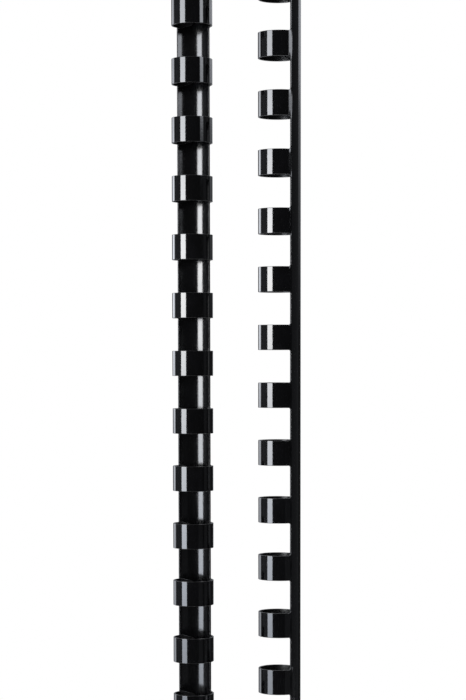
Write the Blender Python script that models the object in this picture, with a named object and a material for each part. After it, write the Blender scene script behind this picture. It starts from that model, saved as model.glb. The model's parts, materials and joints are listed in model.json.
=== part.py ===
"""Pair of plastic binding combs, upright, side by side.

Each comb is one curved spine strip with 21 curled ring fingers. A finger leaves the
spine's root edge on a short tab, goes round the ring and tucks its tip inside the
spine's free edge. Every finger is its own object, with its origin on the living-hinge
line at its root, on the outer face of the sheet, so that it can swing open about the
vertical axis without its cut end meeting the tab's.

Frame: metres, +Z along the combs, the pair centred about the origin in plan, the foot
of comb A at z = 0. Angles on a ring run from +Y (back of comb A) towards +X, in the
comb's own frame.
"""

import math

import bmesh
import bpy
import numpy as np
from mathutils import Vector

# ---------------------------------------------------------------- driving dimensions
PITCH = 0.0142875            # ring pitch along the comb, 9/16 inch
RING_COUNT = 21              # rings on an A4 comb
WALL = 0.00045               # thickness of the plastic sheet

R_SPINE = 0.00522            # outer radius of the spine
SPINE_FREE_DEG = -43.0       # free edge of the spine
SPINE_ROOT_DEG = 60.0        # root edge of the spine, where the fingers leave it
SPINE_STEPS = 14             # facets across the spine

FILLET = 0.00040             # inside fillet between a root tab and the spine's edge
FILLET_STEPS = 3
TAB_END_DEG = 70.8           # end of a root tab
HINGE_GAP = 0.00040          # clearance between a root tab and its finger

FINGER_WIDTH = 0.0060        # width of a ring finger along the comb
FINGER_STEPS = 19            # facets round a finger, up to its tapered tip
RING_BULGE = 0.00006         # the front of a ring stands this much proud of the spine radius
BULGE_FROM_DEG = 70.0
BULGE_TO_DEG = 130.0
TUCK = 0.00090               # how far the ring spirals in, to pass inside the spine
TUCK_FROM_DEG = 205.0
TUCK_TO_DEG = 345.0

TIP_DEG = 370.0              # a finger's tip, inside the spine
TIP_TAPER = 0.0035           # length of the tapered tip
TIP_WIDTH = 0.0042           # width at the very end, before its corners are rounded
TIP_CORNER = 0.0010          # radius of the tip's corners
CORNER_STATIONS = (1.0, 0.5, 0.13, 0.0)  # distances from the tip's end, in corner radii

COMB_A_X = -0.01106          # ring axis of comb A
COMB_B_X = 0.01074           # ring axis of comb B
COMB_B_Z = 0.00636           # comb B stands this much higher than comb A
COMB_B_TURN_DEG = -90.0      # turns the back of comb B to +X

BLACK = (0.012, 0.012, 0.013, 1.0)
ROUGHNESS = 0.14

# ---------------------------------------------------------------- calculation settings
ARC_SAMPLES = 400            # samples for measuring the length round a finger
TANGENT_STEP_DEG = 0.05      # half step for finding a ring's direction
SHARP_EDGE_DEG = 35.0        # edges steeper than this are shaded sharp

# ---------------------------------------------------------------- derived dimensions
R_MID = R_SPINE - WALL / 2
HINGE_HALF_DEG = math.degrees(HINGE_GAP / 2 / R_MID)
HINGE_DEG = TAB_END_DEG + HINGE_HALF_DEG
FINGER_START_DEG = HINGE_DEG + HINGE_HALF_DEG
LENGTH = RING_COUNT * PITCH
RING_CENTRES = [(k + 0.5) * PITCH for k in range(RING_COUNT)]


# ---------------------------------------------------------------- ring curve
def smooth_ramp(value, start, end):
    """Rises from 0 at start to 1 at end, with level ends."""
    t = min(max((value - start) / (end - start), 0.0), 1.0)
    return t * t * (3.0 - 2.0 * t)


def polar_point(deg, radius, z=0.0):
    angle = math.radians(deg)
    return Vector((radius * math.sin(angle), radius * math.cos(angle), z))


def ring_point(deg, z=0.0):
    """Point on a ring's outer face: it leaves at the spine's radius and spirals inwards."""
    radius = (
        R_SPINE
        + RING_BULGE * smooth_ramp(deg, BULGE_FROM_DEG, BULGE_TO_DEG)
        - TUCK * smooth_ramp(deg, TUCK_FROM_DEG, TUCK_TO_DEG)
    )
    return polar_point(deg, radius, z)


def ring_inward(deg):
    """Unit normal of the ring curve, pointing towards the ring's axis."""
    along = ring_point(deg + TANGENT_STEP_DEG) - ring_point(deg - TANGENT_STEP_DEG)
    along.normalize()
    return Vector((along.y, -along.x, 0.0))


# ---------------------------------------------------------------- materials and objects
def make_material(name):
    """Glossy black plastic."""
    material = bpy.data.materials.new(name)
    material.use_nodes = True
    bsdf = next(n for n in material.node_tree.nodes if n.type == "BSDF_PRINCIPLED")
    bsdf.inputs["Base Color"].default_value = BLACK
    bsdf.inputs["Roughness"].default_value = ROUGHNESS
    bsdf.inputs["Metallic"].default_value = 0.0
    material.diffuse_color = BLACK
    return material


def thicken(bm, inward_at):
    """Turns a sheet of outer faces into a closed solid, one wall thick."""
    made = bmesh.ops.extrude_face_region(bm, geom=list(bm.faces), use_keep_orig=True)
    for item in made["geom"]:
        if isinstance(item, bmesh.types.BMVert):
            item.co += inward_at(item.co) * WALL
    bmesh.ops.recalc_face_normals(bm, faces=bm.faces)


def finish_mesh(bm, name, material):
    mesh = bpy.data.meshes.new(name)
    bm.to_mesh(mesh)
    bm.free()
    mesh.materials.append(material)
    mesh.shade_smooth()
    mesh.set_sharp_from_angle(angle=math.radians(SHARP_EDGE_DEG))
    return mesh


def add_object(name, mesh, parent=None, location=(0.0, 0.0, 0.0)):
    """Adds a mesh object, or an empty where mesh is None."""
    obj = bpy.data.objects.new(name, mesh)
    bpy.context.scene.collection.objects.link(obj)
    obj.parent = parent
    obj.location = location
    return obj


# ---------------------------------------------------------------- spine
def tab_outline():
    """(distance from the spine's root edge, half width) along a filleted root tab."""
    half = FINGER_WIDTH / 2
    outline = []
    for i in range(FILLET_STEPS + 1):
        angle = math.radians(90.0 * i / FILLET_STEPS)
        distance = FILLET * (1.0 - math.cos(angle))
        outline.append((distance, half + FILLET * (1.0 - math.sin(angle))))
    outline.append((math.radians(TAB_END_DEG - SPINE_ROOT_DEG) * R_MID, half))
    return outline


def spine_mesh(material):
    """Curved strip, with one filleted tab for each ring along its root edge."""
    bm = bmesh.new()

    def column(deg, heights):
        return [bm.verts.new(polar_point(deg, R_SPINE, z)) for z in heights]

    step = (SPINE_ROOT_DEG - SPINE_FREE_DEG) / SPINE_STEPS
    plain = [column(SPINE_FREE_DEG + step * i, (0.0, LENGTH)) for i in range(SPINE_STEPS)]
    for left, right in zip(plain, plain[1:]):
        bm.faces.new((left[0], right[0], right[1], left[1]))

    # the last facet is one face, with a vertex at each side of every tab
    outline = tab_outline()
    base_half = outline[0][1]
    root_heights = [0.0]
    for centre in RING_CENTRES:
        root_heights += [centre - base_half, centre + base_half]
    root_heights.append(LENGTH)
    root = column(SPINE_ROOT_DEG, root_heights)
    bm.faces.new([plain[-1][0]] + root + [plain[-1][1]])

    for k, centre in enumerate(RING_CENTRES):
        previous = root[1 + 2 * k], root[2 + 2 * k]
        for distance, half in outline[1:]:
            deg = SPINE_ROOT_DEG + math.degrees(distance / R_MID)
            low, high = column(deg, (centre - half, centre + half))
            bm.faces.new((previous[0], low, high, previous[1]))
            previous = low, high

    thicken(bm, lambda co: -Vector((co.x, co.y, 0.0)).normalized())
    return finish_mesh(bm, "comb_spine", material)


# ---------------------------------------------------------------- finger
def finger_half_width(left):
    """Half width of a finger where this length is left before its end."""
    full = FINGER_WIDTH / 2
    end = TIP_WIDTH / 2
    half = full if left >= TIP_TAPER else end + (full - end) * left / TIP_TAPER
    if left < TIP_CORNER:
        half -= TIP_CORNER - math.sqrt(TIP_CORNER**2 - (TIP_CORNER - left) ** 2)
    return half


def finger_columns():
    """(angle, half width) at each station round a finger."""
    sweep = TIP_DEG - FINGER_START_DEG
    degs = [FINGER_START_DEG + sweep * i / ARC_SAMPLES for i in range(ARC_SAMPLES + 1)]
    reach = [0.0]
    for start, end in zip(degs, degs[1:]):
        reach.append(reach[-1] + (ring_point(end) - ring_point(start)).length)
    total = reach[-1]

    # equal steps up to the taper, one station halfway down it, then the rounded corners
    taper_start = total - TIP_TAPER
    lengths = [taper_start * i / FINGER_STEPS for i in range(FINGER_STEPS + 1)]
    lengths.append(total - TIP_TAPER / 2)
    lengths += [total - TIP_CORNER * station for station in CORNER_STATIONS]
    return [
        (float(np.interp(length, reach, degs)), finger_half_width(total - length))
        for length in lengths
    ]


def finger_mesh(material, hinge):
    """Curled strip; its origin is on the hinge line, at the middle of its width."""
    bm = bmesh.new()
    inward = {}
    previous = None
    for deg, half in finger_columns():
        pair = [bm.verts.new(ring_point(deg, z) - hinge) for z in (-half, half)]
        for vert in pair:
            inward[tuple(vert.co)] = ring_inward(deg)
        if previous:
            bm.faces.new((previous[0], pair[0], pair[1], previous[1]))
        previous = pair
    # extruded vertices start exactly on the originals, so their position finds the normal
    thicken(bm, lambda co: inward[tuple(co)])
    return finish_mesh(bm, "comb_finger", material)


# ---------------------------------------------------------------- assembly
def add_comb(name, finger, hinge, location, turn_deg):
    """A spine and its fingers, parented to an empty on the ring axis."""
    axis = add_object(name + "_axis", None, location=location)
    axis.rotation_euler = (0.0, 0.0, math.radians(turn_deg))
    spine = spine_mesh(make_material(name + "_spine_black"))
    add_object(name + "_spine", spine, axis)
    for number, centre in enumerate(RING_CENTRES, start=1):
        root = hinge + Vector((0.0, 0.0, centre))
        add_object(f"{name}_finger_{number:02d}", finger, axis, root)


def build():
    for obj in list(bpy.data.objects):
        bpy.data.objects.remove(obj, do_unlink=True)

    hinge = polar_point(HINGE_DEG, R_SPINE)
    finger = finger_mesh(make_material("finger_black"), hinge)
    add_comb("comb_a", finger, hinge, location=(COMB_A_X, 0.0, 0.0), turn_deg=0.0)
    add_comb(
        "comb_b", finger, hinge, location=(COMB_B_X, 0.0, COMB_B_Z), turn_deg=COMB_B_TURN_DEG
    )


build()
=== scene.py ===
import json
import math
import random

import bmesh
import bpy
import numpy as np
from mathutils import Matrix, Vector


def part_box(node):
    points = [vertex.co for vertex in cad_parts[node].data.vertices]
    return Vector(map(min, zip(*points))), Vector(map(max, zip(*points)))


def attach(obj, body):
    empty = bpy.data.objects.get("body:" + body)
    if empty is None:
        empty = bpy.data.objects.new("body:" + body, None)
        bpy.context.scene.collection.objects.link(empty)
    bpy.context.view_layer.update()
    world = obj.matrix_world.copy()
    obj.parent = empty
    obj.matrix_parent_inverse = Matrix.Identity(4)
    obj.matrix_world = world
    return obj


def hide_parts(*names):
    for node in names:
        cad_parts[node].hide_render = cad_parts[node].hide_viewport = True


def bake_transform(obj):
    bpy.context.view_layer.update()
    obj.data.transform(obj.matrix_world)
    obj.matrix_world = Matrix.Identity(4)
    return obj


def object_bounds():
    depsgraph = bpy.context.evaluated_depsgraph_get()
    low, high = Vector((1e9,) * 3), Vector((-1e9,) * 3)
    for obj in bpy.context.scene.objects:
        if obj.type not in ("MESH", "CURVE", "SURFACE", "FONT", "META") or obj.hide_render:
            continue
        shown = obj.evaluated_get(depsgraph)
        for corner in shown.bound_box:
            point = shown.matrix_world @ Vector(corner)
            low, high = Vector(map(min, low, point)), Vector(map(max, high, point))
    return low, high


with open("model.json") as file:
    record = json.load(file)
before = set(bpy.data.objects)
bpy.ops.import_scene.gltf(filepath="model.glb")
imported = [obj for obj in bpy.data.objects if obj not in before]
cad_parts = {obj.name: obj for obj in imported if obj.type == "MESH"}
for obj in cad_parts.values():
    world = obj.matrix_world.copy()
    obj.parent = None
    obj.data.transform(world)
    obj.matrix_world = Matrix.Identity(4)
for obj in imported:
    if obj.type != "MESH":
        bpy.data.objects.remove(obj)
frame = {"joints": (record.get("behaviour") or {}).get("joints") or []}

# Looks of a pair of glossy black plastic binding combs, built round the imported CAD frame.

cad_lo, cad_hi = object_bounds()
JOINTS = {j["name"]: j for j in frame["joints"]}
RINGS = 21

# ------------------------------------------------------------------ the comb's own geometry
# Angles run from the middle of the spine's back (+Y on comb A) towards the rings' roots.
WALL = 0.00045                 # sheet thickness
R_OUT = 0.00522                # outer radius of the spine
R_MID = R_OUT - WALL / 2
FREE, ROOT = -43.0, 60.0       # the spine's two edges
SEAM = 64.8                    # where a ring's mesh takes over from the spine's root tab
TIP = 370.0                    # a ring's tip, tucked inside the spine
HALF_W = 0.0031                # half a ring's width along the comb
FILLET = 0.00040               # inside fillet beside each root tab
EDGE = 0.000085                # rounding of the punched edges
HINGE = 70.8 + math.degrees(0.0002 / R_MID)
ACROSS = 6                     # quads across a ring
CORNER = 4                     # steps round each punched edge


def smooth(t):
    t = np.clip(t, 0.0, 1.0)
    return t * t * (3.0 - 2.0 * t)


# a curled ring is not quite round: it is drawn out a little up to its front left and runs flatter after it
NOSE_AT = np.linspace(60.0, 400.0, 1701)
NOSE_SLOPE = (0.036 * smooth((NOSE_AT - 92.0) / 26.0) - 0.076 * smooth((NOSE_AT - 150.0) / 17.0)
              + 0.040 * smooth((NOSE_AT - 208.0) / 28.0))
NOSE = R_OUT * np.cumsum(NOSE_SLOPE) * math.radians(0.2)


def ring_r(deg):
    """Outer radius of a ring: round at its root, then spiralling in to pass inside the spine."""
    bulge = 0.00006 * smooth((deg - 70.0) / 60.0)
    tuck = 0.00090 * smooth((deg - 205.0) / 140.0)
    return R_OUT + bulge - tuck + np.interp(deg, NOSE_AT, NOSE)


def flare(deg):
    """How far the spine opens out of its circle towards its free edge."""
    return 0.00052 * np.minimum(np.radians(deg + 11.0), 0.0) ** 2


def straighten(deg, between):
    """Between two rings (between = 1) the sheet runs out a little straighter towards its root edge."""
    return between * 0.000070 * (np.maximum(deg - 46.5, 0.0) / 13.5) ** 2


def polar(deg, r):
    a = np.radians(deg)
    return np.stack([r * np.sin(a), r * np.cos(a)], axis=-1)


# cross-section of the sheet in (z, n): the outer face, the two punched edges and the inner face,
# as offsets from a half width w and a half thickness h
def section(w, h, edge):
    """Closed loop of (z, n) points: outer face from -z to +z, +z edge, inner face back, -z edge."""
    pts = []
    a = np.linspace(0.0, math.pi / 2, CORNER + 1)
    a0 = w - edge
    zs = np.concatenate([[-a0], np.linspace(0.00005 - a0, a0 - 0.00005, ACROSS - 1), [a0]])
    for z in zs:
        pts.append((z, h))
    for t in a[1:]:
        pts.append((w - edge + edge * math.sin(t), h - edge + edge * math.cos(t)))
    for t in a:
        pts.append((w - edge + edge * math.cos(t), -(h - edge) - edge * math.sin(t)))
    for z in zs[::-1][1:]:
        pts.append((z, -h))
    for t in a[1:]:
        pts.append((-(w - edge) - edge * math.sin(t), -(h - edge) - edge * math.cos(t)))
    for t in a[:-1]:
        pts.append((-(w - edge) - edge * math.cos(t), (h - edge) + edge * math.sin(t)))
    return np.array(pts)


def edge_faces(count):
    """For each side quad of a section loop, True on the punched edges."""
    face = []
    o = ACROSS
    e = CORNER + (CORNER + 1)
    for i in range(count):
        if i < o:
            face.append(False)
        elif i < o + e:
            face.append(True)
        elif i < o + e + ACROSS:
            face.append(False)
        else:
            face.append(True)
    return face


class Frame:
    """Where a comb stands: its ring axis, its turn about Z and the heights of its rings."""

    def __init__(self, name, turned):
        self.name, self.turned = name, turned
        lo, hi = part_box(f"{name}_spine")
        self.z0, self.z1 = lo.z, hi.z
        j = Vector(JOINTS[f"{name}_finger_01_flex"]["pos_m"])
        self.cx, self.cy = 0.0, 0.0
        h = self.place(np.array([[*polar(HINGE, R_OUT), 0.0]]))[0]
        self.cx, self.cy = j.x - h[0], j.y - h[1]
        self.rings = []
        for k in range(RINGS):
            lo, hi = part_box(f"{name}_finger_{k + 1:02d}")
            self.rings.append((lo.z + hi.z) / 2)

    def place(self, p):
        p = np.asarray(p, float)
        if self.turned:
            return np.stack([self.cx + p[:, 1], self.cy - p[:, 0], p[:, 2]], axis=1)
        return np.stack([self.cx + p[:, 0], self.cy + p[:, 1], p[:, 2]], axis=1)


def make_object(name, verts, faces, mats, index):
    mesh = bpy.data.meshes.new(name)
    mesh.from_pydata([tuple(v) for v in verts], [], faces)
    for m in mats:
        mesh.materials.append(m)
    mesh.polygons.foreach_set("material_index", index)
    # every face looks outwards
    bm = bmesh.new()
    bm.from_mesh(mesh)
    bmesh.ops.recalc_face_normals(bm, faces=bm.faces)
    bm.to_mesh(mesh)
    bm.free()
    mesh.shade_smooth()
    mesh.set_sharp_from_angle(angle=math.radians(50.0))
    mesh.validate()
    mesh.update()
    obj = bpy.data.objects.new(name, mesh)
    bpy.context.scene.collection.objects.link(obj)
    return obj


# ------------------------------------------------------------------ rings
def ring_path(tip_shift, swell):
    """Samples of a ring's middle line: angle, point, outward normal, length from the seam."""
    deg = np.linspace(SEAM, TIP + tip_shift, 1400)
    r = ring_r(deg) - WALL / 2 + swell * smooth((deg - 95.0) / 60.0) * smooth((330.0 - deg) / 80.0)
    p = polar(deg, r)
    d = np.gradient(p, axis=0)
    d /= np.linalg.norm(d, axis=1)[:, None]
    n = np.stack([-d[:, 1], d[:, 0]], axis=1)
    s = np.concatenate([[0.0], np.cumsum(np.linalg.norm(np.diff(p, axis=0), axis=1))])
    return deg, p, n, s


def ring_mesh(comb, k, mats):
    rnd = random.Random(1000 + 50 * k + (7 if comb.turned else 0))
    tip_shift = rnd.uniform(-1.6, 1.2)
    swell = rnd.uniform(-0.00003, 0.00003)
    lean = rnd.uniform(-0.00005, 0.00005)
    deg, p, n, s = ring_path(tip_shift, swell)
    total = s[-1]
    taper, end_half, corner = 0.0035, 0.0021, 0.0010

    # stations: close together at the root, where the ring bends, and at the rounded tip
    st = list(np.linspace(0.0, 0.00002, 2)) + list(np.arange(0.00008, 0.0017, 0.00008))
    st += list(np.linspace(0.0018, total - taper, 96))
    st += list(np.linspace(total - taper, total - corner, 9)[1:])
    st += [total - corner + corner * math.sin(a) for a in np.linspace(0, math.pi / 2, 12)[1:-1]]
    st += [total - EDGE * (1 - math.sin(a)) for a in np.linspace(0.15, math.pi / 2, 5)]
    st = np.array(sorted(set(round(float(x), 9) for x in st)))
    px = np.interp(st, s, p[:, 0]); py = np.interp(st, s, p[:, 1])
    nx = np.interp(st, s, n[:, 0]); ny = np.interp(st, s, n[:, 1])
    z0 = comb.rings[k]

    loops, verts, along = [], [], []
    for i, x in enumerate(st):
        left = total - x
        w = HALF_W if left >= taper else end_half + (HALF_W - end_half) * left / taper
        if left < corner:
            w -= corner - math.sqrt(max(corner**2 - (corner - left) ** 2, 0.0))
        h, e = WALL / 2, EDGE
        if left < EDGE:
            inset = EDGE - math.sqrt(max(EDGE**2 - (EDGE - left) ** 2, 0.0))
            w, h, e = w - inset * 0.2, h - inset, max(EDGE - inset, 0.00001)
        w = max(w, 0.0004)
        sec = section(w, h, e)
        q = np.zeros((len(sec), 3))
        q[:, 0] = px[i] + sec[:, 1] * nx[i]
        q[:, 1] = py[i] + sec[:, 1] * ny[i]
        q[:, 2] = z0 + sec[:, 0] + lean * smooth((x - 0.002) / (total - 0.002))
        loops.append(range(len(verts), len(verts) + len(sec)))
        verts.extend(q)
        along.extend([x] * len(sec))
    faces, index = [], []
    count = len(loops[0])
    on_edge = edge_faces(count)
    for a, b in zip(loops, loops[1:]):
        for i in range(count):
            j = (i + 1) % count
            faces.append((a[i], a[j], b[j], b[i]))
            index.append(1 if on_edge[i] else (2 if ACROSS + 2 * CORNER < i < 2 * ACROSS + 2 * CORNER + 1 else 0))
    faces.append(tuple(loops[0])[::-1]); index.append(1)
    faces.append(tuple(loops[-1])); index.append(1)
    name = f"{comb.name}_ring_{k + 1:02d}"
    obj = make_object(name, comb.place(np.array(verts)), faces, mats, index)
    # end points and weights for the bend at the ring's root, worked out but not applied; the ring is left unattached
    # and the CAD finger is hidden
    body = f"{comb.name}_finger_{k + 1:02d}"
    a = comb.place(np.array([[*polar(SEAM, R_MID), z0]]))[0]
    b = comb.place(np.array([[*polar(2 * HINGE - SEAM, R_MID), z0]]))[0]
    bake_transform(obj)
    bend = 2 * math.radians(HINGE - SEAM) * R_MID
    w = smooth(np.array(along) / bend).astype(np.float32)
    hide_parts(body)
    return obj


# ------------------------------------------------------------------ spine
def spine_mesh(comb, mats):
    """Curved strip with rounded punched edges and 21 filleted root tabs, on one structured grid."""
    to_s = lambda d: math.radians(d) * R_MID
    s_free, s_root, s_seam = to_s(FREE), to_s(ROOT), to_s(SEAM)
    z0, z1 = comb.z0, comb.z1
    verts, faces, index = [], [], []
    steps = 8                                   # steps round a fillet
    cap = np.linspace(0.0, math.pi / 2, CORNER + 1)
    # (share of EDGE still inset, n) from the outer face's rim round to the inner face's rim
    rim = [(1 - math.sin(t), WALL / 2 - EDGE * (1 - math.cos(t))) for t in cap]
    rim = rim + [(u, -n) for u, n in rim[::-1]]

    centres = np.array(comb.rings)

    def middle(s, z):
        a = s / R_MID
        off = np.abs(centres - z).min()
        between = smooth((off - HALF_W + 0.00005) / (FILLET + 0.00035))
        r = R_MID + flare(math.degrees(a)) + straighten(math.degrees(a), between)
        return np.array((r * math.sin(a), r * math.cos(a)))

    def add(s, z, n):
        p, q = middle(s - 0.00001, z), middle(s + 0.00001, z)
        d = (q - p) / np.linalg.norm(q - p)
        m = (p + q) / 2 + n * np.array((-d[1], d[0]))
        verts.append((m[0], m[1], z))
        return len(verts) - 1

    def quad(a, b, c, d, m):
        faces.append((a, b, c, d)); index.append(m)

    # columns across the spine, closer together at its two edges
    cols = [s_free + EDGE]
    cols += list(np.linspace(s_free + 0.00022, s_root - 0.00022, 40))
    cols += [s_root - EDGE]
    # rows along it: five lines on each tab's base and a few in between
    rows, tab_rows = [z0 + EDGE], []
    half = HALF_W + FILLET
    for zc in comb.rings:
        gap_from, gap_to = rows[-1], zc - half
        near = 0.0007
        if gap_to - gap_from > 3 * near:
            rows += list(np.linspace(gap_from, gap_from + near, 4)[1:])
            rows += list(np.linspace(gap_from + near, gap_to - near, 6)[1:])
            rows += list(np.linspace(gap_to - near, gap_to, 4)[1:])
        else:
            rows += list(np.linspace(gap_from, gap_to, 5)[1:])
        tab_rows.append(len(rows) - 1)
        rows += list(np.linspace(zc - half, zc + half, ACROSS + 1)[1:])
    rows += list(np.linspace(rows[-1], z1 - EDGE, 10)[1:])
    nc, nr = len(cols), len(rows)

    sheets = []
    for n in (WALL / 2, -WALL / 2):
        sheets.append([[add(s, z, n) for z in rows] for s in cols])
    for side, g in enumerate(sheets):
        m = 2 if side else 0
        for i in range(nc - 1):
            for j in range(nr - 1):
                q = (g[i][j], g[i + 1][j], g[i + 1][j + 1], g[i][j + 1])
                quad(*(q if side == 0 else q[::-1]), m)

    tab_base = {j for t in tab_rows for j in range(t, t + ACROSS)}

    # the boundary, in order, as (outer vertex, inner vertex, outline point, inward normal)
    edge_loop = []

    def corner_or_edge(i, j, s, z, ns, nz):
        edge_loop.append((sheets[0][i][j], sheets[1][i][j], s, z, ns, nz))

    # bottom end, free edge to root edge
    for i in range(nc):
        s = cols[i]
        ns = 1.0 if i == 0 else (-1.0 if i == nc - 1 else 0.0)
        corner_or_edge(i, 0, s - ns * EDGE, z0, ns, 1.0)
    tabs = []
    j = 1
    last = nr - 1
    while j <= last:
        if j in tab_rows:
            k = tab_rows.index(j)
            zc = comb.rings[k]
            # fillet in, side of the tab, then a break where the ring begins
            low = [(sheets[0][-1][j], sheets[1][-1][j], s_root, zc - half, -1.0, 0.0)]
            rows_tab = []
            # levels of the tab: each is a row of points from its low edge to its high edge
            levels = []
            for a in np.linspace(0.0, math.pi / 2, steps + 1)[1:]:
                s = s_root + FILLET * (1 - math.cos(a))
                w = HALF_W + FILLET * (1 - math.sin(a))
                levels.append((s, w, -math.cos(a), math.sin(a)))
            for s in np.linspace(s_root + FILLET, s_seam - 0.00002, 4)[1:]:
                levels.append((s, HALF_W, 0.0, 1.0))
            levels.append((s_seam, HALF_W, 0.0, 1.0))
            prev = [[sheets[m][-1][j + c] for c in range(ACROSS + 1)] for m in (0, 1)]
            lows, highs = [], []
            for s, w, ns, nw in levels:
                rowsets = []
                for m, n in enumerate((WALL / 2, -WALL / 2)):
                    ss, ww = s + ns * EDGE, w - nw * EDGE
                    rowsets.append([add(ss, z, n) for z in np.linspace(zc - ww, zc + ww, ACROSS + 1)])
                for m in (0, 1):
                    for c in range(ACROSS):
                        q = (prev[m][c], rowsets[m][c], rowsets[m][c + 1], prev[m][c + 1])
                        quad(*(q if m == 0 else q[::-1]), 2 if m else 0)
                lows.append((rowsets[0][0], rowsets[1][0], s, zc - w, ns, nw))
                highs.append((rowsets[0][-1], rowsets[1][-1], s, zc + w, ns, -nw))
                prev = rowsets
            first_high = (sheets[0][-1][j + ACROSS], sheets[1][-1][j + ACROSS], s_root, zc + half, -1.0, 0.0)
            edge_loop.append(low[0])
            edge_loop.extend(lows)
            edge_loop.append(("tab", prev))
            edge_loop.extend(highs[::-1])
            edge_loop.append(first_high)
            j += ACROSS + 1
        else:
            if j == last:
                break
            corner_or_edge(nc - 1, j, s_root, rows[j], -1.0, 0.0)
            j += 1
    for i in range(nc - 1, -1, -1):
        s = cols[i]
        ns = 1.0 if i == 0 else (-1.0 if i == nc - 1 else 0.0)
        corner_or_edge(i, nr - 1, s - ns * EDGE, z1, ns, -1.0)
    for j in range(nr - 2, 0, -1):
        corner_or_edge(0, j, s_free, rows[j], 1.0, 0.0)

    # rounded rim along that boundary
    made = []
    for e in edge_loop:
        if e[0] == "tab":
            made.append(e)
            continue
        top, bottom, s, z, ns, nz = e
        line = [top]
        for u, n in rim[1:-1]:
            line.append(add(s + ns * EDGE * u, z + nz * EDGE * u, n))
        line.append(bottom)
        made.append(line)
    total = len(made)
    for i in range(total):
        a, b = made[i], made[(i + 1) % total]
        if a[0] == "tab" or b[0] == "tab":
            continue
        for c in range(len(a) - 1):
            quad(a[c], a[c + 1], b[c + 1], b[c], 1)
    # flat end of each root tab, where the ring's own mesh begins
    for i in range(total):
        if made[i][0] == "tab":
            outer, inner = made[i][1]
            lo_line, hi_line = made[i - 1], made[(i + 1) % total]
            loop = list(outer) + hi_line[1:-1] + list(inner)[::-1] + lo_line[1:-1][::-1]
            faces.append(tuple(loop)); index.append(1)
    obj = make_object(f"{comb.name}_spine_strip", comb.place(np.array(verts)), faces, mats, index)
    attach(obj, comb.name)
    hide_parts(f"{comb.name}_spine")
    return obj


# ------------------------------------------------------------------ materials
def nodes_of(mat):
    mat.use_nodes = True
    nt = mat.node_tree
    nt.nodes.clear()
    return nt


def plastic(name, base, rough_lo, rough_hi, peel, seed):
    """Glossy black vinyl: orange peel, fine drawing lines along the comb, rubbed patches and hairline scratches."""
    mat = bpy.data.materials.new(name)
    nt = nodes_of(mat)
    N, L = nt.nodes, nt.links
    out = N.new("ShaderNodeOutputMaterial")
    bsdf = N.new("ShaderNodeBsdfPrincipled")
    L.new(bsdf.outputs[0], out.inputs[0])
    tc = N.new("ShaderNodeTexCoord")
    coord = tc.outputs["Object"]

    def noise(scale, detail=2.0, rough=0.5, stretch=None):
        src = coord
        m = N.new("ShaderNodeMapping")
        m.inputs["Location"].default_value = (seed * 0.37, seed * 0.11, seed * 0.05)
        m.inputs["Scale"].default_value = stretch or (1, 1, 1)
        L.new(src, m.inputs["Vector"])
        n = N.new("ShaderNodeTexNoise")
        n.inputs["Scale"].default_value = scale
        n.inputs["Detail"].default_value = detail
        n.inputs["Roughness"].default_value = rough
        L.new(m.outputs[0], n.inputs["Vector"])
        return n.outputs["Fac"]

    def ramp(src, a, b, lo, hi):
        r = N.new("ShaderNodeMapRange")
        r.inputs["From Min"].default_value = a
        r.inputs["From Max"].default_value = b
        r.inputs["To Min"].default_value = lo
        r.inputs["To Max"].default_value = hi
        L.new(src, r.inputs["Value"])
        return r.outputs[0]

    def math_node(op, a, b):
        m = N.new("ShaderNodeMath")
        m.operation = op
        for i, v in enumerate((a, b)):
            if isinstance(v, (int, float)):
                m.inputs[i].default_value = v
            else:
                L.new(v, m.inputs[i])
        return m.outputs[0]

    # colour: near black, slightly cool, with a faint haze where it has been rubbed
    haze = ramp(noise(160.0, 4.0, 0.6), 0.45, 0.75, 0.0, 1.0)
    mix = N.new("ShaderNodeMix")
    mix.data_type = "RGBA"
    mix.inputs["A"].default_value = (*base, 1.0)
    mix.inputs["B"].default_value = (base[0] * 1.7, base[1] * 1.7, base[2] * 1.8, 1.0)
    L.new(haze, mix.inputs["Factor"])
    L.new(mix.outputs["Result"], bsdf.inputs["Base Color"])

    # roughness: patches plus hairline scratches that run along the comb
    patches = ramp(noise(240.0, 3.0, 0.55), 0.3, 0.7, rough_lo, rough_hi)
    hair = ramp(noise(900.0, 2.0, 0.6, (6.0, 6.0, 0.12)), 0.66, 0.74, 0.0, 0.10)
    rough = math_node("ADD", patches, hair)
    L.new(rough, bsdf.inputs["Roughness"])
    bsdf.inputs["IOR"].default_value = 1.53
    bsdf.inputs["Metallic"].default_value = 0.0

    # relief: slow waviness, orange peel, drawing lines
    wave = noise(190.0, 1.0, 0.4)
    fine = noise(2600.0, 2.0, 0.5)
    lines = noise(1500.0, 2.0, 0.5, (1.0, 1.0, 0.02))
    b1 = N.new("ShaderNodeBump")
    b1.inputs["Strength"].default_value = 1.0
    b1.inputs["Distance"].default_value = 0.0000035 * peel
    L.new(wave, b1.inputs["Height"])
    b2 = N.new("ShaderNodeBump")
    b2.inputs["Strength"].default_value = 1.0
    b2.inputs["Distance"].default_value = 0.0000042 * peel
    L.new(fine, b2.inputs["Height"])
    L.new(b1.outputs[0], b2.inputs["Normal"])
    b3 = N.new("ShaderNodeBump")
    b3.inputs["Strength"].default_value = 1.0
    b3.inputs["Distance"].default_value = 0.0000006 * peel
    L.new(lines, b3.inputs["Height"])
    L.new(b2.outputs[0], b3.inputs["Normal"])
    L.new(b3.outputs[0], bsdf.inputs["Normal"])
    return mat


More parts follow.
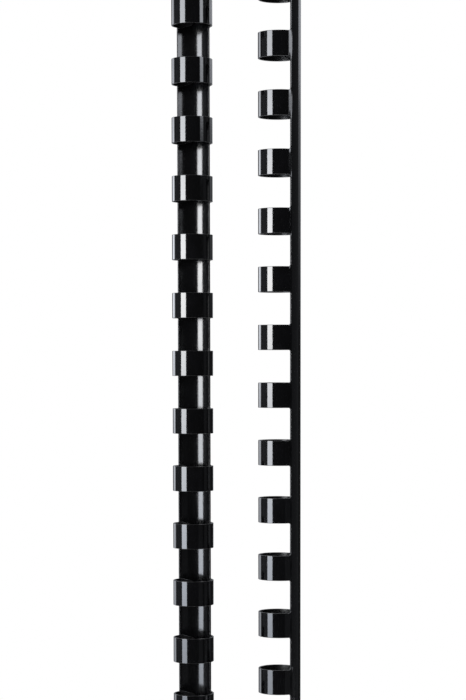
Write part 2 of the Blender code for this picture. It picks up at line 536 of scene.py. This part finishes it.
def cut_edge(name, seed):
    """Punched edge: duller and greyer than the sheet's faces, with a fine mottled relief."""
    mat = bpy.data.materials.new(name)
    nt = nodes_of(mat)
    N, L = nt.nodes, nt.links
    out = N.new("ShaderNodeOutputMaterial")
    bsdf = N.new("ShaderNodeBsdfPrincipled")
    L.new(bsdf.outputs[0], out.inputs[0])
    tc = N.new("ShaderNodeTexCoord")
    n = N.new("ShaderNodeTexNoise")
    n.inputs["Scale"].default_value = 3200.0
    n.inputs["Detail"].default_value = 3.0
    L.new(tc.outputs["Object"], n.inputs["Vector"])
    c = N.new("ShaderNodeMix")
    c.data_type = "RGBA"
    c.inputs["A"].default_value = (0.0022, 0.0022, 0.0024, 1)
    c.inputs["B"].default_value = (0.0065, 0.0065, 0.0070, 1)
    L.new(n.outputs["Fac"], c.inputs["Factor"])
    L.new(c.outputs["Result"], bsdf.inputs["Base Color"])
    r = N.new("ShaderNodeMapRange")
    r.inputs["To Min"].default_value = 0.22
    r.inputs["To Max"].default_value = 0.42
    L.new(n.outputs["Fac"], r.inputs["Value"])
    L.new(r.outputs[0], bsdf.inputs["Roughness"])
    bsdf.inputs["IOR"].default_value = 1.53
    b = N.new("ShaderNodeBump")
    b.inputs["Strength"].default_value = 1.0
    b.inputs["Distance"].default_value = 0.000004
    L.new(n.outputs["Fac"], b.inputs["Height"])
    L.new(b.outputs[0], bsdf.inputs["Normal"])
    return mat


BASE = (0.0016, 0.0016, 0.0018)
for comb in (Frame("comb_a", False), Frame("comb_b", True)):
    seed = 3.0 if comb.turned else 1.0
    mats = [
        plastic(f"{comb.name}_outer_face", BASE, 0.05, 0.10, 1.0, seed),
        cut_edge(f"{comb.name}_punched_edge", seed),
        plastic(f"{comb.name}_inner_face", BASE, 0.12, 0.19, 1.2, seed + 5.0),
    ]
    spine_mesh(comb, mats)
    mats = mats[:2] + [plastic(f"{comb.name}_ring_inner_face", BASE, 0.30, 0.42, 1.2, seed + 9.0)]
    for k in range(RINGS):
        ring_mesh(comb, k, mats)


# ------------------------------------------------------------------ stage, light and camera
scene = bpy.context.scene
scene.view_settings.view_transform = "Standard"
scene.view_settings.look = "None"
CENTRE = Vector((-0.0008, 0.0, 0.1507))

world = bpy.data.worlds.new("studio")
scene.world = world
world.use_nodes = True
nt = world.node_tree
nt.nodes.clear()
w_out = nt.nodes.new("ShaderNodeOutputWorld")
w_mix = nt.nodes.new("ShaderNodeMixShader")
w_seen = nt.nodes.new("ShaderNodeBackground")
w_seen.inputs["Color"].default_value = (1, 1, 1, 1)
w_seen.inputs["Strength"].default_value = 1.0
# what the glossy plastic reflects: a dark room at the combs' own height, brighter above and below
w_lit = nt.nodes.new("ShaderNodeBackground")
w_lit.inputs["Color"].default_value = (0.98, 0.98, 1.0, 1)
w_dir = nt.nodes.new("ShaderNodeTexCoord")
w_xyz = nt.nodes.new("ShaderNodeSeparateXYZ")
w_up = nt.nodes.new("ShaderNodeMapRange")
w_up.interpolation_type = "SMOOTHSTEP"
w_up.inputs["From Min"].default_value = 0.18
w_up.inputs["From Max"].default_value = 0.42
w_up.inputs["To Min"].default_value = 0.035
w_up.inputs["To Max"].default_value = 0.42
nt.links.new(w_dir.outputs["Generated"], w_xyz.inputs[0])
nt.links.new(w_xyz.outputs["Z"], w_up.inputs["Value"])
w_down = nt.nodes.new("ShaderNodeMapRange")
w_down.interpolation_type = "SMOOTHSTEP"
w_down.inputs["From Min"].default_value = -0.22
w_down.inputs["From Max"].default_value = -0.50
w_down.inputs["To Min"].default_value = 0.035
w_down.inputs["To Max"].default_value = 0.42
nt.links.new(w_xyz.outputs["Z"], w_down.inputs["Value"])
w_most = nt.nodes.new("ShaderNodeMath")
w_most.operation = "MAXIMUM"
nt.links.new(w_up.outputs[0], w_most.inputs[0])
nt.links.new(w_down.outputs[0], w_most.inputs[1])
nt.links.new(w_most.outputs[0], w_lit.inputs["Strength"])
w_path = nt.nodes.new("ShaderNodeLightPath")
nt.links.new(w_path.outputs["Is Camera Ray"], w_mix.inputs[0])
nt.links.new(w_lit.outputs[0], w_mix.inputs[1])
nt.links.new(w_seen.outputs[0], w_mix.inputs[2])
nt.links.new(w_mix.outputs[0], w_out.inputs[0])


def panel(name, azimuth, width_deg, z_from, z_to, distance, colour, stops, fade=0.12):
    """A softbox: an upright glowing panel. Azimuth 0 is the camera's side, negative to its left.
    stops are (share of the height, strength), and colour holds (share of the height, colour);
    its sides fade over a share of its width."""
    a = math.radians(azimuth)
    direction = Vector((math.sin(a), -math.cos(a), 0.0))
    side = Vector((math.cos(a), math.sin(a), 0.0))
    half = distance * math.tan(math.radians(width_deg / 2))
    c = CENTRE + direction * distance
    vs = []
    for u, z in ((-1, z_from), (1, z_from), (1, z_to), (-1, z_to)):
        p = c + side * (half * u)
        vs.append((p.x, p.y, z))
    mesh = bpy.data.meshes.new(name)
    mesh.from_pydata(vs, [], [(0, 1, 2, 3)])
    uv = mesh.uv_layers.new(name="UVMap")
    for i, t in enumerate(((0, 0), (1, 0), (1, 1), (0, 1))):
        uv.data[i].uv = t
    obj = bpy.data.objects.new(name, mesh)
    scene.collection.objects.link(obj)
    obj.visible_camera = False
    obj.visible_shadow = False
    mat = bpy.data.materials.new(name)
    t = nodes_of(mat)
    N, L = t.nodes, t.links
    out = N.new("ShaderNodeOutputMaterial")
    em = N.new("ShaderNodeEmission")
    uvn = N.new("ShaderNodeTexCoord")
    sep = N.new("ShaderNodeSeparateXYZ")
    L.new(uvn.outputs["UV"], sep.inputs[0])
    tint = N.new("ShaderNodeValToRGB")
    while len(tint.color_ramp.elements) < len(colour):
        tint.color_ramp.elements.new(0.5)
    for el, (x, c) in zip(tint.color_ramp.elements, colour):
        el.position, el.color = x, (*c, 1)
    L.new(sep.outputs["Y"], tint.inputs["Fac"])
    L.new(tint.outputs["Color"], em.inputs["Color"])
    curve = N.new("ShaderNodeFloatCurve")
    c0 = curve.mapping.curves[0]
    top = max(v for _, v in stops)
    while len(c0.points) < len(stops):
        c0.points.new(0.5, 0.5)
    for pt, (x, v) in zip(c0.points, stops):
        pt.location = (x, v / top)
    curve.mapping.update()
    L.new(sep.outputs["Y"], curve.inputs["Value"])
    # soft left and right borders
    away = N.new("ShaderNodeMath"); away.operation = "PINGPONG"
    away.inputs[1].default_value = 0.5
    L.new(sep.outputs["X"], away.inputs[0])
    soft = N.new("ShaderNodeMapRange"); soft.interpolation_type = "SMOOTHSTEP"
    soft.inputs["From Max"].default_value = max(fade, 1e-4)
    L.new(away.outputs[0], soft.inputs["Value"])
    mul = N.new("ShaderNodeMath"); mul.operation = "MULTIPLY"
    L.new(curve.outputs[0], mul.inputs[0]); L.new(soft.outputs[0], mul.inputs[1])
    mul2 = N.new("ShaderNodeMath"); mul2.operation = "MULTIPLY"
    mul2.inputs[1].default_value = top
    L.new(mul.outputs[0], mul2.inputs[0])
    L.new(mul2.outputs[0], em.inputs["Strength"])
    # only the front of the panel glows
    geo = N.new("ShaderNodeNewGeometry")
    off = N.new("ShaderNodeBsdfTransparent")
    mixer = N.new("ShaderNodeMixShader")
    L.new(geo.outputs["Backfacing"], mixer.inputs[0])
    L.new(em.outputs[0], mixer.inputs[1])
    L.new(off.outputs[0], mixer.inputs[2])
    L.new(mixer.outputs[0], out.inputs[0])
    obj.data.materials.append(mat)
    # the front faces the combs
    n = mesh.polygons[0].normal
    if n.dot(-direction) < 0:
        mesh.flip_normals()
    return obj


COOL = [(0.0, (0.94, 0.98, 1.06)), (1.0, (0.95, 0.98, 1.05))]
KEY = [(0.0, (0.91, 0.975, 1.09)), (0.22, (0.92, 0.98, 1.09)), (0.44, (1.0, 1.0, 1.0)), (0.62, (0.96, 0.99, 1.05))]
panel("key_left", -51.0, 31.0, -0.20, 0.70, 1.0, KEY,
      [(0.0, 4.0), (0.17, 7.4), (0.20, 8.6), (0.29, 11.6), (0.36, 14.0), (0.40, 16.2), (0.435, 18.6), (0.49, 18.9), (0.55, 15.0), (0.60, 13.4), (0.65, 11.4), (1.0, 7.0)], 0.05)
panel("rim_left", -129.0, 37.0, -0.30, 0.80, 1.0, COOL,
      [(0.0, 1.6), (0.25, 2.5), (0.36, 3.4), (0.46, 5.6), (0.52, 5.2), (0.57, 4.0), (0.62, 3.0), (0.70, 2.4), (1.0, 2.0)], 0.32)
panel("bounce_left", -86.0, 40.0, -0.30, 0.90, 1.1, COOL, [(0.0, 0.18), (1.0, 0.20)], 0.10)
panel("fill_right", 60.0, 25.0, 0.305, 0.80, 1.1, COOL,
      [(0.0, 0.0), (0.030, 0.25), (0.052, 1.1), (0.066, 2.8), (0.085, 3.8), (0.15, 4.8), (0.20, 6.2), (1.0, 7.5)], 0.20)
panel("bounce_right", 96.0, 64.0, -0.60, 0.90, 1.2, COOL, [(0.0, 0.12), (1.0, 0.12)], 0.15)
panel("bounce_low", 44.0, 38.0, -0.60, 0.06, 1.2, COOL, [(0.0, 0.13), (0.82, 0.12), (1.0, 0.0)], 0.15)
# two narrow strips behind on the right, which fade downwards
panel("edge_right", 130.0, 16.0, 0.18, 0.80, 1.1, COOL,
      [(0.0, 0.08), (0.0255, 0.12), (0.102, 0.32), (0.175, 0.55), (0.21, 0.70), (0.249, 0.75), (0.2835, 1.3), (0.322, 2.0), (0.40, 2.4), (1.0, 4.0)], 0.20)
panel("rim_right", 150.0, 18.0, 0.18, 0.80, 1.1, COOL,
      [(0.0, 0.06), (0.0255, 0.09), (0.102, 0.20), (0.175, 0.28), (0.21, 0.34), (0.249, 0.50), (0.2835, 0.8), (0.322, 1.0), (0.40, 1.2), (1.0, 2.0)], 0.15)
# low panels, which only show in the plastic when it is looked down on
panel("key_low", -51.0, 31.0, -0.90, -0.22, 1.0, COOL, [(0.0, 2.5), (0.9, 4.2), (1.0, 4.0)], 0.10)
panel("low_right", 84.0, 22.0, -0.90, -0.105, 1.0, COOL, [(0.0, 2.0), (0.82, 3.6), (0.93, 3.6), (1.0, 0.0)], 0.35)
panel("backdrop_glow", 180.0, 46.0, -0.30, 0.90, 1.1, COOL, [(0.0, 0.45), (1.0, 0.45)], 0.10)

# pale round floor that fades into the white backdrop
ring = 96
vs = [(0.0, 0.0, 0.0)]
fs = []
radii = [0.05, 0.12, 0.22, 0.34]
for r in radii:
    for i in range(ring):
        a = 2 * math.pi * i / ring
        vs.append((r * math.cos(a), r * math.sin(a), 0.0))
for i in range(ring):
    fs.append((0, 1 + i, 1 + (i + 1) % ring))
for q in range(len(radii) - 1):
    b0, b1 = 1 + q * ring, 1 + (q + 1) * ring
    for i in range(ring):
        j = (i + 1) % ring
        fs.append((b0 + i, b1 + i, b1 + j, b0 + j))
mesh = bpy.data.meshes.new("floor")
mesh.from_pydata(vs, [], fs)
floor = bpy.data.objects.new("floor", mesh)
scene.collection.objects.link(floor)
floor.location = (0.0, 0.0, cad_lo.z - 0.0004)
mat = bpy.data.materials.new("floor")
t = nodes_of(mat)
N, L = t.nodes, t.links
out = N.new("ShaderNodeOutputMaterial")
diff = N.new("ShaderNodeBsdfDiffuse")
diff.inputs["Color"].default_value = (0.925, 0.90, 0.855, 1)
clear = N.new("ShaderNodeBsdfTransparent")
geo = N.new("ShaderNodeTexCoord")
length = N.new("ShaderNodeVectorMath"); length.operation = "LENGTH"
L.new(geo.outputs["Object"], length.inputs[0])
rad = N.new("ShaderNodeMapRange"); rad.interpolation_type = "SMOOTHSTEP"
rad.inputs["From Min"].default_value = 0.06
rad.inputs["From Max"].default_value = 0.32
L.new(length.outputs["Value"], rad.inputs["Value"])
mx = N.new("ShaderNodeMixShader")
L.new(rad.outputs[0], mx.inputs[0])
L.new(diff.outputs[0], mx.inputs[1])
L.new(clear.outputs[0], mx.inputs[2])
L.new(mx.outputs[0], out.inputs[0])
floor.data.materials.append(mat)

cam_data = bpy.data.cameras.new("camera")
cam = bpy.data.objects.new("camera", cam_data)
scene.collection.objects.link(cam)
scene.camera = cam
# half a metre in front of the combs, looking a little down, with a raised lens;
# the horizon is at the camera's own height and the combs lean by a sixth of a degree
DIST, FOCAL, RISE, TILT, LEAN = 0.505, 2026.0, 158.9, 4.19, 0.10
cam.location = (CENTRE.x - 0.00008, -DIST, CENTRE.z)
cam.rotation_euler = (math.radians(90.0 - TILT), math.radians(LEAN), 0.0)
cam_data.sensor_width = 36.0
cam_data.lens = FOCAL / 700.0 * 36.0
cam_data.clip_start = 0.05
cam_data.clip_end = 20.0
# the rise belongs to this viewpoint: from anywhere else the lens goes back to its middle
rise = cam_data.driver_add("shift_y").driver
rise.type = "SCRIPTED"
for axis in "xy":
    v = rise.variables.new()
    v.name = axis
    v.type = "TRANSFORMS"
    v.targets[0].id = cam
    v.targets[0].transform_type = f"LOC_{axis.upper()}"
    v.targets[0].transform_space = "WORLD_SPACE"
rise.expression = f"{RISE / 700.0:.5f} if abs(x) < 0.05 and abs(y + {DIST}) < 0.05 else 0.0"
